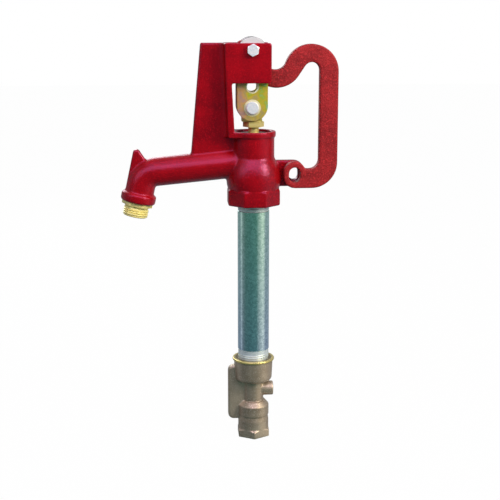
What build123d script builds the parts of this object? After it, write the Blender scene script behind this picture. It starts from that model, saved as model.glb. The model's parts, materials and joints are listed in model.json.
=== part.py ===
"""Frost-free garden standpipe: foot valve, casing pipe, spout head and lever handle.

Millimetres. X points from the spout towards the handle, Y points away from the viewer and
Z points up. The origin is the centre of the foot valve's lower face, on the pipe's axis.
"""

import os
from math import acos, atan2, cos, degrees, hypot, radians, sin, tan

from build123d import *

os.makedirs("parts", exist_ok=True)

# Clearances, shared by every fit
seat_gap = 0.05
run_gap = 0.3
overrun = 4.0

# Foot valve body: heights are above its lower face
inlet_flats = 33.0
inlet_hex_height = 8.4
inlet_bore_r = 12.2
inlet_depth = 15.0
lower_barrel_r = 16.5
lower_barrel_top = 18.0
barrel_waist_r = 15.6
upper_barrel_low = 23.8
upper_barrel_r = 16.7
upper_barrel_top = 34.7
shoulder_r = 12.4
shoulder_top = 39.6
neck_r = 10.8
cup_low = 62.6
cup_low_r = 20.0
cup_top_r = 20.9
cup_round = 4.5
cup_floor = 65.6
lip_r = 22.5
lip_thick = 2.4
lip_round = 0.6
valve_height = 88.3
pipe_seat_height = 73.4

# Bypass: a flat duct cast on the spout side, from under the plunger up into the cup
bypass_reach = 27.6
bypass_width = 9.6
bypass_low = 19.0
bypass_top = 79.6
bypass_corner = 6.0
bypass_edge_round = 2.4
duct_width = 4.6
duct_depth = 6.0
duct_wall = 3.8
duct_low = 26.8
duct_port_height = 6.6
duct_top = 72.2

# Drain boss on the handle side
drain_height = 52.3
drain_boss_r = 7.7
drain_boss_reach = 21.3
drain_tap_r = 4.3
drain_tap_depth = 8.0
drain_port_r = 2.0
drain_chamfer = 0.6

# Plunger and its bore in the foot valve
lift = 12.0
seat_height = 26.0
seat_bore_r = 6.5
plunger_bore_r = 8.2
plunger_r = 7.9
plunger_low_height = 29.0
plunger_top_height = 48.4
seal_r = 7.6
seal_hole_r = 2.5
screw_r = 2.4
screw_head_r = 4.2
screw_head_height = 2.4
screw_length = 9.0
o_ring_r = 1.2
o_ring_squeeze = 0.05
lower_o_ring_height = 36.6
upper_o_ring_height = 46.0

# Casing pipe
pipe_r = 16.7
pipe_bore_r = 13.3
pipe_thread_r = 16.2
pipe_shown = 167.7
lower_thread_run = 22.0
upper_thread_run = 31.0
pipe_chamfer = 0.8

# Spout head: heights are above its lower face
octagon_flats = 54.0
octagon_height = 16.5
octagon_chamfer = 0.8
bulb_low_r = 26.6
bulb_r = 28.2
bulb_mid_height = 29.0
bulb_shoulder_r = 24.6
bulb_shoulder_height = 43.6
bulb_top_height = 49.4
neck_top_r = 21.7
rim_top_height = 76.8
rim_thick = 5.6
rim_r = 23.2
pipe_socket_depth = 17.4
pipe_engaged = 15.0
chamber_r = 20.0
chamber_round = 7.0
chamber_top_height = 43.0
packing_floor_depth = 27.8
packing_r = 10.0
packing_ring_height = 3.0
packing_ring_count = 3
packing_washer_height = 2.0
gland_r = 12.9
gland_seat_depth = 5.2
gland_flats = 28.6
gland_hex_height = 3.2
gland_recess_r = 18.4

# Yoke on top of the head: two plates joined by a slanted post
yoke_half_depth = 19.5
yoke_gap_half = 12.8
post_outer_low_x = -27.2
post_outer_top_x = -30.6
window_low_x = -20.6
window_top_x = -23.2
web_thick = 4.5
ear_right_x = 17.1
ear_height = 40.0
yoke_top_height = 166.4
yoke_corner = 2.0

# Rib between the post and the spout
rib_width = 12.0
rib_top_x = -54.4
rib_low_x = -65.8
rib_low_height = 44.0
rib_round = 3.0
rib_fillet = 7.0

# Spout: the axis runs down from the head, turns, and ends in a collar
spout_r = 15.0
spout_bore_r = 10.4
spout_rise = 45.0
spout_slope = 5.5
spout_bend_x = -114.2
spout_bend_r = 17.0
outlet_tilt = 12.7
outlet_bore_start = 15.0
collar_start = 21.4
collar_end = 30.9
collar_r = 18.2
collar_round = 2.2

# Bail hook: a fin that stands on the spout's bend
hook_width = 10.0
hook_tip_x = -121.4
hook_tip_height = 58.6
hook_tip_r = 2.6
hook_foot_x = -111.0
hook_foot_height = 46.6
hook_edge_round = 2.0

# Hose nozzle, along the outlet's axis
nozzle_shank_r = 13.0
nozzle_shank_length = 11.0
nozzle_flats = 28.0
nozzle_hex_height = 3.8
nozzle_groove_r = 12.2
nozzle_groove_height = 2.2
hose_thread_r = 13.5
hose_thread_length = 9.0
nozzle_bore_r = 9.2
nozzle_chamfer = 0.7
set_screw_r = 0.9
set_screw_length = 2.6
nozzle_gasket_height = 1.6

# Fulcrum bolt, in the front of the yoke
fulcrum_x = -2.0
fulcrum_depth = 6.9
bolt_r = 3.15
bolt_head_flats = 11.1
bolt_head_height = 4.4
bolt_turn_angle = 26.0
nut_height = 5.6
bolt_stub = 2.4

# Links: two straps that carry the rod
link_half_width = 15.9
link_thick = 5.0
link_face = 7.0
link_length = 85.0
link_crown = 13.0
link_chamfer = 0.5
link_eye_drop = 36.8
link_eye_r = 5.6
link_pin_drop = 58.3
link_pin_r = 4.0
link_pin_head_r = 6.6
link_pin_head_height = 3.4
link_pin_chamfer = 0.9
link_nut_flats = 12.7
link_nut_height = 5.0

# Crosshead, jam nut and rods
crosshead_r = 10.4
crosshead_gap = 0.1
crosshead_low_drop = 72.5
jam_flats = 19.0
jam_height = 5.8
stem_r = 5.5
stem_engaged = 9.4
stem_length = 90.0
stem_chamfer = 0.8
rod_r = 4.75
coupling_flats = 16.0
coupling_length = 24.0

# Cam: a slot in the handle's hub pulls a cross pin, fixed in the links, up by the lift
cam_pin_r = 3.0
cam_pin_drop = 22.4
cam_wall = 3.2
cam_end_gap = 0.6
handle_swing = 105.0
cam_points = 9

# Handle: places are measured from the fulcrum, out along X and down along Z
handle_half_thick = 6.5
handle_edge_round = 1.3
hub_r = 12.0
trough_upper_r = 11.4
trough_angle = 160.0
trough_lower_r = 27.2
trough_lower_out = 25.4
trough_lower_drop = 11.3
trough_lower_end_angle = 210.0
hump_upper_r = 27.9
hump_drop = 22.2
hump_lower_r = 8.3
hump_lower_drop = 20.9
grip_outer_out = 89.3
grip_inner_out = 70.0
bend_outer_r = 26.9
bend_inner_r = 10.2
foot_low_drop = 142.6
foot_top_drop = 122.8
lock_out = 44.9
lock_drop = 128.7
lock_boss_length = 27.6
lock_boss_width = 23.4
lock_hole_length = 15.8
lock_hole_width = 12.1

# Padlock lug on the head, behind the handle
lug_gap = 1.0
lug_thick = 10.0
lug_root_x = 14.0
lug_round = 2.0
lug_hole_length = 13.6
lug_hole_width = 9.8

# Heights worked out from the sizes above
head_z = valve_height + pipe_shown
fulcrum_z = head_z + yoke_top_height - fulcrum_depth
link_top_z = fulcrum_z + link_crown
spout_z = head_z + spout_rise
handle_flank = handle_half_thick + lug_gap
crosshead_low_z = fulcrum_z - crosshead_low_drop
stem_low_z = crosshead_low_z + stem_engaged - stem_length


def front(depth):
    """Drawing plane seen from the front, at a distance before the pipe's axis."""
    return Plane.XZ.offset(depth)


def ring(plane, outer_r, inner_r, height):
    """Add a plain ring, standing on a plane."""
    with BuildSketch(plane) as section:
        Circle(outer_r)
        Circle(inner_r, mode=Mode.SUBTRACT)
    extrude(section.sketch, amount=height)


def rod(plane, radius, length, mode=Mode.ADD):
    """Add or cut a round bar that stands on a plane."""
    with BuildSketch(plane) as section:
        Circle(radius)
    extrude(section.sketch, amount=length, mode=mode)


def hexagon(plane, flats, height, turn=0.0):
    """Start a part with a hexagon whose far corners are turned off at 30 degrees."""
    with BuildSketch(plane) as section:
        RegularPolygon(flats / 2, side_count=6, major_radius=False, rotation=turn)
    extrude(section.sketch, amount=height)
    with Locations(plane):
        Cone(
            bottom_radius=flats / 2 + height / tan(radians(30)),
            top_radius=flats / 2,
            height=height,
            align=(Align.CENTER, Align.CENTER, Align.MIN),
            mode=Mode.INTERSECT,
        )


def crossing_angle(start, start_r, end, end_r):
    """Angle on the first circle where a line leaves it to pass over to the second one."""
    span = hypot(end[0] - start[0], end[1] - start[1])
    heading = degrees(atan2(end[1] - start[1], end[0] - start[0]))
    return heading, degrees(acos((start_r + end_r) / span))


def on_circle(centre, radius, angle):
    """Point on a circle at an angle in degrees."""
    return (centre[0] + radius * cos(radians(angle)), centre[1] + radius * sin(radians(angle)))


def save(part, name):
    """Label a finished part and write its file."""
    part.label = name
    export_step(part, f"parts/{name}.step")


# Foot valve body
# The wrench hexagon shows a corner to the front. The bypass duct is a flat rib on the
# spout side, and the barrels, neck, cup and machined lip are turned about the pipe's axis.
with BuildPart() as valve_body:
    hexagon(Plane.XY, inlet_flats, inlet_hex_height, turn=30)
    with BuildSketch(Plane.XZ):
        with BuildLine():
            Polyline(
                (0, bypass_low),
                (-bypass_reach, bypass_low),
                (-bypass_reach, bypass_top),
                (0, bypass_top),
                (0, bypass_low),
            )
        make_face()
        fillet(vertices().group_by(Axis.X)[0], bypass_corner)
    extrude(amount=bypass_width / 2, both=True)
    rib_faces = valve_body.faces().filter_by(Axis.Y).filter_by(lambda f: f.center().Z > bypass_low)
    fillet(rib_faces.edges(), bypass_edge_round)
    with BuildSketch(Plane.XZ):
        with BuildLine():
            Polyline(
                (0, inlet_hex_height - lip_round),
                (lower_barrel_r, inlet_hex_height - lip_round),
                (lower_barrel_r, lower_barrel_top),
                (barrel_waist_r, upper_barrel_low),
                (upper_barrel_r, upper_barrel_low),
                (upper_barrel_r, upper_barrel_top),
                (shoulder_r, shoulder_top),
                (neck_r, shoulder_top),
                (neck_r, cup_low),
                (cup_low_r - cup_round, cup_low),
            )
            RadiusArc(
                (cup_low_r - cup_round, cup_low),
                (cup_low_r, cup_low + cup_round),
                -cup_round,
            )
            Polyline(
                (cup_low_r, cup_low + cup_round),
                (cup_top_r, valve_height - lip_thick),
                (lip_r, valve_height - lip_thick),
                (lip_r, valve_height),
                (0, valve_height),
                (0, inlet_hex_height - lip_round),
            )
        make_face()
    revolve(axis=Axis.Z)
    lip_edges = valve_body.edges().filter_by(lambda e: e.bounding_box().min.Z > cup_low)
    lip_edges = lip_edges.filter_by(GeomType.CIRCLE).filter_by(lambda e: e.radius > lip_r - lip_round)
    fillet(lip_edges, lip_round)
    boss_plane = Plane.YZ.offset(neck_r / 2) * Pos(0, drain_height, 0)
    rod(boss_plane, drain_boss_r, drain_boss_reach - neck_r / 2)
    boss_face = valve_body.faces().filter_by(lambda f: f.center().X > drain_boss_reach - drain_chamfer)
    chamfer(boss_face.edges(), drain_chamfer)

    # Water way: inlet thread, seat, plunger bore, cup thread and drain.
    rod(Plane.XY, inlet_bore_r, inlet_depth, Mode.SUBTRACT)
    with BuildSketch(Plane.XZ):
        with BuildLine():
            Polyline(
                (0, inlet_depth - seat_gap),
                (inlet_bore_r, inlet_depth - seat_gap),
                (seat_bore_r, seat_height - seat_bore_r / 2),
                (seat_bore_r, seat_height),
                (plunger_bore_r, seat_height),
                (plunger_bore_r, cup_floor),
                (pipe_thread_r + seat_gap, cup_floor),
                (pipe_thread_r + seat_gap, valve_height),
                (0, valve_height),
                (0, inlet_depth - seat_gap),
            )
        make_face()
    revolve(axis=Axis.Z, mode=Mode.SUBTRACT)
    drain_face = Plane.YZ.offset(drain_boss_reach) * Pos(0, drain_height, 0)
    rod(drain_face, drain_tap_r, -drain_tap_depth, Mode.SUBTRACT)
    rod(drain_face, drain_port_r, -drain_boss_reach, Mode.SUBTRACT)

    # Bypass duct: it leaves the plunger bore, climbs outside the neck and enters the cup.
    duct_far = bypass_reach - duct_wall
    with BuildSketch(Plane.XZ):
        with BuildLine():
            Polyline(
                (0, duct_low),
                (-duct_far, duct_low),
                (-duct_far, duct_top),
                (0, duct_top),
                (0, duct_top - duct_port_height + seat_gap),
                (-duct_far + duct_depth, duct_top - duct_port_height + seat_gap),
                (-duct_far + duct_depth, duct_low + duct_port_height),
                (0, duct_low + duct_port_height),
                (0, duct_low),
            )
        make_face()
    extrude(amount=duct_width / 2, both=True, mode=Mode.SUBTRACT)
save(valve_body.part, "valve_body")

# Casing pipe
# The threaded ends are a little thinner than the pipe between them.
pipe_low_z = pipe_seat_height
pipe_top_z = head_z + pipe_engaged
with BuildPart() as casing_pipe:
    with BuildSketch(Plane.XZ):
        with BuildLine():
            Polyline(
                (pipe_bore_r, pipe_low_z),
                (pipe_thread_r, pipe_low_z),
                (pipe_thread_r, pipe_low_z + lower_thread_run - pipe_chamfer),
                (pipe_r, pipe_low_z + lower_thread_run),
                (pipe_r, pipe_top_z - upper_thread_run),
                (pipe_thread_r, pipe_top_z - upper_thread_run + pipe_chamfer),
                (pipe_thread_r, pipe_top_z),
                (pipe_bore_r, pipe_top_z),
                (pipe_bore_r, pipe_low_z),
            )
        make_face()
    revolve(axis=Axis.Z)
save(casing_pipe.part, "casing_pipe")


# Spout head
# One casting: octagon, bulb, neck and rim in line with the pipe; spout, rib and yoke.
bend = (spout_bend_x, spout_z + spout_bend_x * tan(radians(spout_slope)))
spout_turn = 90 - spout_slope - outlet_tilt
bend_reach = spout_bend_r * tan(radians(spout_turn / 2))
spout_way = (-cos(radians(spout_slope)), 0, -sin(radians(spout_slope)))
outlet_way = (-sin(radians(outlet_tilt)), 0, -cos(radians(outlet_tilt)))


def spout(distance):
    """Plane square to the spout's axis, at a distance before its corner."""
    return Plane(
        origin=(bend[0] - distance * spout_way[0], 0, bend[1] - distance * spout_way[2]),
        x_dir=(sin(radians(spout_slope)), 0, -cos(radians(spout_slope))),
        z_dir=spout_way,
    )


def outlet(distance):
    """Plane square to the outlet's axis, at a distance past the spout's corner."""
    return Plane(
        origin=(bend[0] + distance * outlet_way[0], 0, bend[1] + distance * outlet_way[2]),
        x_dir=(-cos(radians(outlet_tilt)), 0, sin(radians(outlet_tilt))),
        z_dir=outlet_way,
    )


def spout_bar(radius, start, end, mode=Mode.ADD):
    """Round bar along the spout: straight, round the bend and down to the outlet."""
    rod(spout(start), radius, start - bend_reach, mode)
    elbow_start = spout(bend_reach)
    centre = elbow_start.origin + elbow_start.x_dir * spout_bend_r
    with BuildSketch(elbow_start) as section:
        Circle(radius)
    revolve(section.sketch, axis=Axis(centre, (0, -1, 0)), revolution_arc=spout_turn, mode=mode)
    rod(outlet(bend_reach), radius, end - bend_reach, mode)


octagon_top_z = head_z + octagon_height
bulb_mid_z = head_z + bulb_mid_height
bulb_top_z = head_z + bulb_top_height
rim_top_z = head_z + rim_top_height
rim_low_z = rim_top_z - rim_thick
yoke_top_z = head_z + yoke_top_height
ear_low_z = yoke_top_z - ear_height
rib_low_z = head_z + rib_low_height
plate_thick = yoke_half_depth - yoke_gap_half


def post_outer(z):
    """Outer left edge of the slanted post at a height."""
    share = (z - rim_low_z) / (yoke_top_z - rim_low_z)
    return post_outer_low_x + share * (post_outer_top_x - post_outer_low_x)


def post_inner(z):
    """Inner edge of the post, beside the window, at a height."""
    share = (z - rim_top_z) / (ear_low_z - rim_top_z)
    return window_low_x + share * (window_top_x - window_low_x)


def rib_left(z):
    """Left edge of the rib at a height."""
    share = (z - rib_low_z) / (yoke_top_z - rib_low_z)
    return rib_low_x + share * (rib_top_x - rib_low_x)


# Bail hook: a fin on the spout's bend, in line with the outlet's outer flank
hook_base = (
    bend[0] - spout_r / cos(radians(outlet_tilt)) - collar_start * sin(radians(outlet_tilt)),
    bend[1] - collar_start * cos(radians(outlet_tilt)),
)
hook_top_z = head_z + hook_tip_height
hook_run = (hook_top_z - hook_base[1]) * tan(radians(outlet_tilt))
with BuildPart() as bail_hook:
    with BuildSketch(Plane.XZ) as fin:
        with BuildLine():
            Polyline(
                hook_base,
                (hook_base[0] + hook_run, hook_top_z),
                (hook_tip_x + hook_tip_r, hook_top_z),
                (hook_foot_x, head_z + hook_foot_height),
                bend,
                hook_base,
            )
        make_face()
        fillet(fin.vertices().group_by(Axis.Y)[-1], hook_tip_r)
    extrude(amount=hook_width / 2, both=True)
    fillet(bail_hook.faces().filter_by(Axis.Y).edges(), hook_edge_round)

# Padlock lug: a tongue behind the handle's foot, on the handle side of the head
lock_x = fulcrum_x + lock_out
lock_z = fulcrum_z - lock_drop
with BuildPart() as lock_lug:
    with BuildSketch(front(-handle_flank - lug_thick)):
        with Locations((lock_x, lock_z)):
            SlotOverall(lock_boss_length, lock_boss_width, rotation=90)
        with Locations((lug_root_x, lock_z)):
            Rectangle(lock_x - lug_root_x, lock_boss_length, align=(Align.MIN, Align.CENTER))
    extrude(amount=lug_thick)
    fillet(lock_lug.faces().filter_by(Axis.Y).edges(), lug_round)
    with BuildSketch(front(-handle_flank - lug_thick)):
        with Locations((lock_x, lock_z)):
            SlotOverall(lug_hole_length, lug_hole_width, rotation=90)
    extrude(amount=lug_thick, mode=Mode.SUBTRACT)

with BuildPart() as head_casting:
    with BuildSketch(Plane.XY.offset(head_z)):
        RegularPolygon(octagon_flats / 2, side_count=8, major_radius=False, rotation=180 / 8)
    extrude(amount=octagon_height)
    chamfer(head_casting.faces().sort_by(Axis.Z)[0].edges(), octagon_chamfer)
    chamfer(head_casting.faces().sort_by(Axis.Z)[-1].edges(), octagon_chamfer)
    with BuildSketch(Plane.XZ):
        with BuildLine():
            Line((0, octagon_top_z), (bulb_low_r, octagon_top_z))
            Spline(
                (bulb_low_r, octagon_top_z),
                (bulb_r, bulb_mid_z),
                (bulb_shoulder_r, head_z + bulb_shoulder_height),
                (neck_top_r, bulb_top_z),
            )
            Polyline(
                (neck_top_r, bulb_top_z),
                (neck_top_r, rim_low_z),
                (rim_r, rim_low_z),
                (rim_r, rim_top_z),
                (0, rim_top_z),
                (0, octagon_top_z),
            )
        make_face()
    revolve(axis=Axis.Z)

    # Spout and collar
    spout_start = -bend[0] - neck_top_r / 2
    spout_bar(spout_r, spout_start, collar_start + collar_round)
    rod(outlet(collar_start), collar_r, collar_end - collar_start)
    collar_edges = head_casting.edges().filter_by(GeomType.CIRCLE)
    fillet(collar_edges.filter_by(lambda e: abs(e.radius - collar_r) < seat_gap), collar_round)

    # The rib is a flat web that leans from the post to the spout.
    for z in (rib_low_z, yoke_top_z):
        with BuildSketch(Plane.XY.offset(z)) as section:
            with Locations((rib_left(z), 0)):
                Rectangle(
                    post_outer(z) - rib_left(z) + web_thick / 2,
                    rib_width,
                    align=(Align.MIN, Align.CENTER),
                )
            fillet(section.vertices().group_by(Axis.X)[0], rib_round)
    loft()

    # The post is drawn in plan at its foot and its top, with soft corners where the rib
    # meets it, and lofted between them.
    for z in (rim_low_z, yoke_top_z):
        with BuildSketch(Plane.XY.offset(z)) as section:
            with Locations((post_outer(z), 0)):
                Rectangle(
                    post_inner(z) - post_outer(z),
                    2 * yoke_half_depth,
                    align=(Align.MIN, Align.CENTER),
                )
            with Locations((post_outer(z), 0)):
                Rectangle(2 * rib_fillet, rib_width, align=(Align.MAX, Align.CENTER))
            inside_corners = section.vertices().filter_by(
                lambda v: abs(v.X - post_outer(z)) < seat_gap and abs(v.Y) < yoke_gap_half
            )
            fillet(inside_corners, rib_fillet - seat_gap)
    loft()

    # Gusset between the rib's foot and the neck, from the spout up to the rim
    with BuildSketch(Plane.XY.offset(spout_z)):
        with Locations((rib_left(rim_low_z), 0)):
            Rectangle(-rib_left(rim_low_z), rib_width, align=(Align.MIN, Align.CENTER))
    extrude(amount=rim_low_z - spout_z)

    # Foot of the yoke: the rim widened to a square on the spout side
    with BuildSketch(Plane.XY.offset(rim_low_z)):
        with Locations((post_outer_low_x, 0)):
            Rectangle(-post_outer_low_x, 2 * yoke_half_depth, align=(Align.MIN, Align.CENTER))
    extrude(amount=rim_thick)

    # Ears: a plate at the front and one at the back, and the pocket between them
    for face in (yoke_gap_half, -yoke_half_depth):
        with BuildSketch(front(face)) as ear:
            with BuildLine():
                Polyline(
                    (post_outer(ear_low_z) + web_thick, ear_low_z),
                    (ear_right_x, ear_low_z),
                    (ear_right_x, yoke_top_z),
                    (post_outer(yoke_top_z) + web_thick, yoke_top_z),
                    (post_outer(ear_low_z) + web_thick, ear_low_z),
                )
            make_face()
            fillet(ear.vertices().group_by(Axis.X)[-1], yoke_corner)
        extrude(amount=plate_thick)
    with BuildSketch(Plane.XZ):
        with BuildLine():
            Polyline(
                (post_outer(rim_top_z) + web_thick, rim_top_z),
                (ear_right_x + overrun, rim_top_z),
                (ear_right_x + overrun, yoke_top_z + overrun),
                (post_outer(yoke_top_z + overrun) + web_thick, yoke_top_z + overrun),
                (post_outer(rim_top_z) + web_thick, rim_top_z),
            )
        make_face()
    extrude(amount=yoke_gap_half, both=True, mode=Mode.SUBTRACT)
    with BuildSketch(front(yoke_half_depth)):
        with Locations((fulcrum_x, fulcrum_z)):
            Circle(bolt_r + seat_gap)
    extrude(amount=-2 * yoke_half_depth, mode=Mode.SUBTRACT)

    add(bail_hook.part)
    add(lock_lug.part)

    # Hollows: pipe socket, water chamber, stem hole, packing bore and gland recess
    rod(Plane.XY.offset(head_z), pipe_thread_r + seat_gap, pipe_socket_depth, Mode.SUBTRACT)
    with BuildSketch(Plane.XZ):
        with BuildLine():
            Polyline(
                (0, head_z + pipe_socket_depth - seat_gap),
                (pipe_bore_r, head_z + pipe_socket_depth - seat_gap),
                (chamber_r, octagon_top_z + chamber_round),
                (chamber_r, head_z + chamber_top_height),
                (0, head_z + chamber_top_height),
                (0, head_z + pipe_socket_depth - seat_gap),
            )
        make_face()
        fillet(vertices().group_by(Axis.X)[-1], chamber_round)
    revolve(axis=Axis.Z, mode=Mode.SUBTRACT)
    packing_z = rim_top_z - packing_floor_depth
    gland_seat_z = rim_top_z - gland_seat_depth
    gland_low_z = packing_z + packing_ring_count * packing_ring_height + packing_washer_height
    for radius, low_z in (
        (stem_r + run_gap, bulb_mid_z),
        (packing_r + seat_gap, packing_z),
        (gland_r + seat_gap, gland_low_z),
        (gland_recess_r, gland_seat_z),
    ):
        rod(Plane.XY.offset(low_z), radius, rim_top_z - low_z, Mode.SUBTRACT)

    # Water way of the spout, and the socket for the nozzle's shank
    spout_bar(spout_bore_r, -bend[0] - outlet_bore_start, collar_end, Mode.SUBTRACT)
    socket_depth = nozzle_shank_length + nozzle_gasket_height
    rod(outlet(collar_end), nozzle_shank_r + seat_gap, -socket_depth, Mode.SUBTRACT)
save(head_casting.part, "head_casting")


# Packing under the gland nut: graphite rings and the brass washer that presses on them
with BuildPart() as packing_rings:
    for index in range(packing_ring_count):
        ring_z = packing_z + index * packing_ring_height
        ring(Plane.XY.offset(ring_z), packing_r, stem_r + seat_gap, packing_ring_height - seat_gap)
save(packing_rings.part, "packing_rings")

washer_z = gland_low_z - packing_washer_height
with BuildPart() as packing_washer:
    ring(Plane.XY.offset(washer_z), packing_r, stem_r + run_gap, packing_washer_height)
save(packing_washer.part, "packing_washer")

with BuildPart() as packing_nut:
    hexagon(Plane.XY.offset(gland_seat_z), gland_flats, gland_hex_height, turn=30)
    rod(Plane.XY.offset(gland_low_z), gland_r, gland_seat_z - gland_low_z)
    rod(Plane.XY.offset(gland_low_z), stem_r + run_gap, yoke_top_height, Mode.SUBTRACT)
save(packing_nut.part, "packing_nut")


# Hose nozzle
# The shank screws into the collar against a gasket; a set screw locks it from the side.
nozzle_z = collar_end
groove_start = nozzle_z + nozzle_hex_height
thread_start = groove_start + nozzle_groove_height
nozzle_end = thread_start + hose_thread_length
shank_start = collar_end - nozzle_shank_length
screw_centre = groove_start + nozzle_groove_height / 2
with BuildPart() as hose_nozzle:
    hexagon(outlet(nozzle_z), nozzle_flats, nozzle_hex_height)
    rod(outlet(shank_start), nozzle_shank_r, nozzle_shank_length)
    rod(outlet(groove_start), nozzle_groove_r, nozzle_groove_height)
    rod(outlet(thread_start), hose_thread_r, hose_thread_length)
    thread_edges = hose_nozzle.edges().filter_by(GeomType.CIRCLE)
    thread_edges = thread_edges.filter_by(lambda e: abs(e.radius - hose_thread_r) < seat_gap)
    chamfer(thread_edges, nozzle_chamfer)
    rod(outlet(shank_start), nozzle_bore_r, nozzle_end - shank_start, Mode.SUBTRACT)
    screw_plane = Plane(
        origin=outlet(screw_centre).origin - Vector(0, nozzle_groove_r - set_screw_length / 2, 0),
        x_dir=(1, 0, 0),
        z_dir=(0, -1, 0),
    )
    screw_seat = screw_plane.offset(-set_screw_length / 2)
    rod(screw_seat, set_screw_r + seat_gap, set_screw_length, Mode.SUBTRACT)
save(hose_nozzle.part, "hose_nozzle")

with BuildPart() as nozzle_set_screw:
    rod(screw_seat, set_screw_r, set_screw_length - seat_gap)
save(nozzle_set_screw.part, "nozzle_set_screw")

with BuildPart() as nozzle_gasket:
    ring(outlet(shank_start - nozzle_gasket_height), nozzle_shank_r, nozzle_bore_r, nozzle_gasket_height)
save(nozzle_gasket.part, "nozzle_gasket")


# Links
# Each strap is a stadium with three openings: a slot that runs over the fulcrum bolt, the
# cross pin's hole, an open eye, and the hole of the pin that carries the crosshead.
cam_pin_z = fulcrum_z - cam_pin_drop
link_pin_z = fulcrum_z - link_pin_drop
link_middle_z = link_top_z - link_length / 2
slot_length = lift + 2 * (bolt_r + run_gap)
slot_middle_z = fulcrum_z - lift / 2


def link(outer_face, name):
    """One strap, cut from plate; the sign of its outer face says which side it is on."""
    with BuildPart() as strap:
        with BuildSketch(front(outer_face)):
            with Locations((fulcrum_x, link_middle_z)):
                SlotOverall(link_length, 2 * link_half_width, rotation=90)
            with Locations((fulcrum_x, slot_middle_z)):
                SlotOverall(slot_length, 2 * (bolt_r + run_gap), rotation=90, mode=Mode.SUBTRACT)
            with Locations((fulcrum_x, cam_pin_z)):
                Circle(cam_pin_r + seat_gap, mode=Mode.SUBTRACT)
            with Locations((fulcrum_x, fulcrum_z - link_eye_drop)):
                Circle(link_eye_r, mode=Mode.SUBTRACT)
            with Locations((fulcrum_x, link_pin_z)):
                Circle(link_pin_r + seat_gap, mode=Mode.SUBTRACT)
        extrude(amount=link_thick if outer_face < 0 else -link_thick)
        chamfer(strap.faces().sort_by(Axis.Y)[0].outer_wire().edges(), link_chamfer)
        chamfer(strap.faces().sort_by(Axis.Y)[-1].outer_wire().edges(), link_chamfer)
    save(strap.part, name)
    return strap


link_outer_face = link_face + link_thick
front_link = link(link_outer_face, "front_link")
rear_link = link(-link_outer_face, "rear_link")

with BuildPart() as cam_pin:
    with BuildSketch(front(link_outer_face)):
        with Locations((fulcrum_x, cam_pin_z)):
            Circle(cam_pin_r)
    extrude(amount=-2 * link_outer_face)
save(cam_pin.part, "cam_pin")


# Crosshead between the links, and the pin that carries it
with BuildPart() as crosshead:
    with BuildSketch(front(link_face - crosshead_gap)):
        with Locations((fulcrum_x, link_pin_z)):
            Circle(crosshead_r)
        with Locations((fulcrum_x, crosshead_low_z)):
            Rectangle(2 * crosshead_r, link_pin_z - crosshead_low_z, align=(Align.CENTER, Align.MIN))
        with Locations((fulcrum_x, link_pin_z)):
            Circle(link_pin_r + seat_gap, mode=Mode.SUBTRACT)
    extrude(amount=-2 * (link_face - crosshead_gap))
    rod(Plane.XY.offset(crosshead_low_z), stem_r + seat_gap, stem_engaged, Mode.SUBTRACT)
save(crosshead.part, "crosshead")


def cross_bolt(name, head_plane, flats, head_height, turn, shank_r, length):
    """Bolt across the linkage: a hexagon head at the front and a plain shank behind it."""
    with BuildPart() as bolt:
        hexagon(head_plane, flats, head_height, turn)
        rod(head_plane, shank_r, -length)
    save(bolt.part, name)
    return bolt


def cross_nut(name, plane, flats, height, hole_r):
    """Nut on the back end of a bolt across the linkage."""
    with BuildPart() as nut:
        hexagon(plane, flats, height)
        rod(plane, hole_r + seat_gap, height, Mode.SUBTRACT)
    save(nut.part, name)
    return nut


def cross_plane(face, z, way=-1):
    """Plane on the linkage's centre line, on a face before or behind the pipe's axis."""
    return Plane(origin=(fulcrum_x, face, z), x_dir=(-way, 0, 0), z_dir=(0, way, 0))


fulcrum_bolt = cross_bolt(
    "fulcrum_bolt",
    cross_plane(-yoke_half_depth, fulcrum_z),
    bolt_head_flats,
    bolt_head_height,
    bolt_turn_angle,
    bolt_r,
    2 * yoke_half_depth + nut_height + bolt_stub,
)
fulcrum_nut = cross_nut(
    "fulcrum_nut",
    cross_plane(yoke_half_depth, fulcrum_z, way=1),
    bolt_head_flats,
    nut_height,
    bolt_r,
)

with BuildPart() as link_pin:
    head_plane = cross_plane(-link_outer_face, link_pin_z)
    rod(head_plane, link_pin_head_r, link_pin_head_height)
    chamfer(link_pin.faces().sort_by(Axis.Y)[0].edges(), link_pin_chamfer)
    rod(head_plane, link_pin_r, -(2 * link_outer_face + link_nut_height))
save(link_pin.part, "link_pin")

link_nut = cross_nut(
    "link_nut",
    cross_plane(link_outer_face, link_pin_z, way=1),
    link_nut_flats,
    link_nut_height,
    link_pin_r,
)


# Stem, jam nut, coupling and pull rod
stem_plane = Plane.XY.offset(stem_low_z)
with BuildPart() as stem:
    rod(stem_plane, stem_r, stem_length)
    chamfer(stem.faces().sort_by(Axis.Z)[-1].edges(), stem_chamfer)
save(stem.part, "stem")

with BuildPart() as jam_nut:
    hexagon(Plane.XY.offset(crosshead_low_z - jam_height), jam_flats, jam_height)
    rod(Plane.XY.offset(crosshead_low_z - jam_height), stem_r + seat_gap, jam_height, Mode.SUBTRACT)
save(jam_nut.part, "jam_nut")

coupling_low_z = stem_low_z - coupling_length / 2
with BuildPart() as rod_coupling:
    hexagon(Plane.XY.offset(coupling_low_z), coupling_flats, coupling_length)
    rod(Plane.XY.offset(coupling_low_z), rod_r + seat_gap, coupling_length / 2, Mode.SUBTRACT)
    rod(stem_plane, stem_r + seat_gap, coupling_length / 2, Mode.SUBTRACT)
save(rod_coupling.part, "rod_coupling")

rod_low_z = plunger_low_height + screw_length + screw_r
with BuildPart() as pull_rod:
    rod(Plane.XY.offset(rod_low_z), rod_r, stem_low_z - rod_low_z)
save(pull_rod.part, "pull_rod")


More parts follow.
